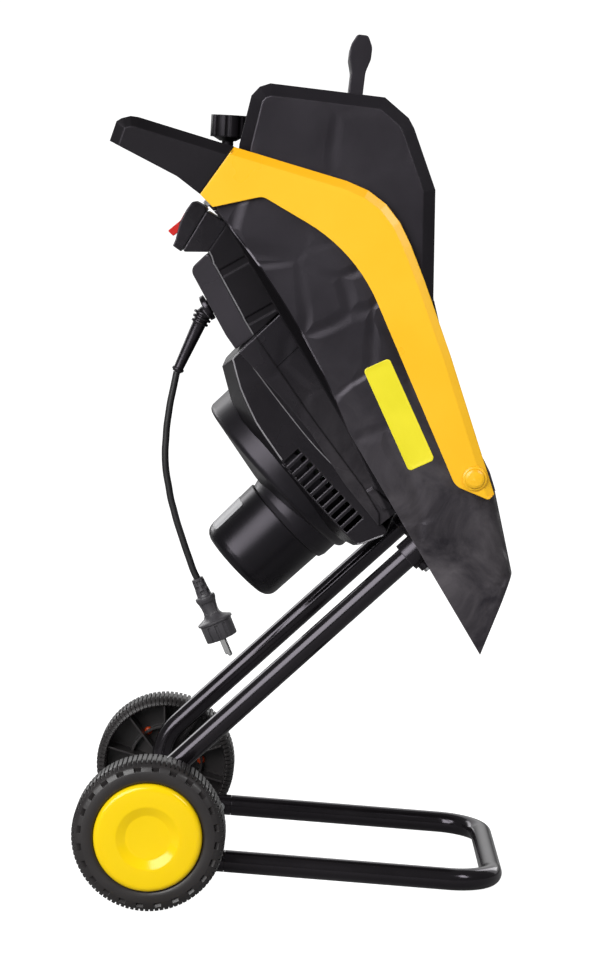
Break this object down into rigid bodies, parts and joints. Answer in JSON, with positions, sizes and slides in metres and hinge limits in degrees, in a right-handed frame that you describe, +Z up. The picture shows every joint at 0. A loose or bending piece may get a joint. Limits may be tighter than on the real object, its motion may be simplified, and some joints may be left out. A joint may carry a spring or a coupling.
{
  "type": "garden shredder",
  "caption": "Garden shredder: hinged hopper with pusher and yellow side arms above a motor-driven blade disc and chute, on a wheeled tube stand, with switch column and short plug lead.",
  "frame": {"origin": "on the floor, under the middle of the box round the machine without its lead and plug", "axes": "+X towards the chute (right in the picture), +Y away from the camera, +Z up"},
  "size_m": [0.4332, 0.408, 0.8499],
  "materials": {
    "painted_tube": "gloss",
    "steel": "machined",
    "tread": "moulded",
    "yellow_plastic": "moulded",
    "black_plastic": "moulded",
    "satin_plastic": "fine grain",
    "grey_plastic": "satin",
    "can_paint": "satin",
    "red_plastic": "moulded",
    "cord_rubber": "satin",
    "pin_metal": "polished",
    "cast_alloy": "cast",
    "copper": "wound wire",
    "brass": "turned"
  },
  "bodies": {
    "stand_and_housing": {"leg_right": "painted_tube", "leg_left": "painted_tube", "foot_bow": "painted_tube", "foot_screws": "steel", "axle": "steel", "axle_spacers": "steel", "axle_nuts": "steel", "leg_socket_right": "black_plastic", "leg_socket_left": "black_plastic", "leg_screws": "steel", "lower_housing": "satin_plastic", "motor_cover": "black_plastic", "gear_drum": "black_plastic", "motor_can": "can_paint", "switch_housing": "black_plastic", "front_cover": "grey_plastic", "switch_base": "black_plastic", "switch_cap": "black_plastic", "safety_switch": "black_plastic", "cable_gland": "cord_rubber", "power_cord": "cord_rubber", "plug_body": "cord_rubber", "plug_pins": "pin_metal", "gear_plate": "cast_alloy", "shaft_bearings": "steel", "motor_bearings": "steel", "stator": "steel", "field_coils": "copper", "brush_holders": "brass", "hinge_pins": "steel"},
    "upper": {"hopper_base": "satin_plastic", "hopper": "satin_plastic", "feed_funnel": "black_plastic", "counter_blade": "steel", "side_arm_right": "yellow_plastic", "side_arm_left": "yellow_plastic", "carry_handle": "satin_plastic", "pivot_caps": "yellow_plastic", "arm_screws": "steel", "lock_insert": "brass"},
    "lock_knob": {"lock_knob": "black_plastic"},
    "pusher": {"pusher": "black_plastic"},
    "wheel_right": {"wheel_right": "tread", "hub_cap_right": "yellow_plastic"},
    "wheel_left": {"wheel_left": "tread", "hub_cap_left": "yellow_plastic"},
    "blade": {"blade_shaft": "steel", "drive_gear": "steel", "blade_disc": "steel", "knives": "steel", "knife_screws": "steel", "disc_bolt": "steel"},
    "armature": {"armature_shaft": "steel", "armature_core": "steel", "commutator": "copper", "cooling_fan": "black_plastic", "pinion": "steel"},
    "rocker": {"rocker": "red_plastic"}
  },
  "joints": [
    {"name": "hopper_hinge", "type": "hinge", "parent": "stand_and_housing", "child": "upper", "pos_m": [0.17893, 0, 0.41771], "axis": [0, 1, 0], "range_deg": [0, 75]},
    {"name": "lock_turn", "type": "hinge", "parent": "upper", "child": "lock_knob", "pos_m": [-0.06249, 0, 0.72736], "axis": [0.061, 0, 0.9981], "range_deg": [0, 360]},
    {"name": "pusher_lift", "type": "slide", "parent": "upper", "child": "pusher", "axis": [0.1305, 0, 0.9914], "range_m": [0, 0.2]},
    {"name": "wheel_right_turn", "type": "hinge", "parent": "stand_and_housing", "child": "wheel_right", "pos_m": [-0.1416, -0.175, 0.075], "axis": [0, 1, 0], "continuous": true},
    {"name": "wheel_left_turn", "type": "hinge", "parent": "stand_and_housing", "child": "wheel_left", "pos_m": [-0.1416, 0.175, 0.075], "axis": [0, 1, 0], "continuous": true},
    {"name": "blade_spin", "type": "hinge", "parent": "stand_and_housing", "child": "blade", "pos_m": [0.0555, 0, 0.4713], "axis": [0.7373, 0, 0.6756], "continuous": true},
    {"name": "armature_spin", "type": "hinge", "parent": "stand_and_housing", "child": "armature", "pos_m": [0.08185, 0, 0.44255], "axis": [0.7373, 0, 0.6756], "continuous": true},
    {"name": "rocker_press", "type": "hinge", "parent": "stand_and_housing", "child": "rocker", "pos_m": [-0.10918, 0, 0.66554], "axis": [0, 1, 0], "range_deg": [-20, 0]}
  ],
  "couplings": [
    {"joint": "armature_spin", "follows": "blade_spin", "ratio": -3}
  ]
}
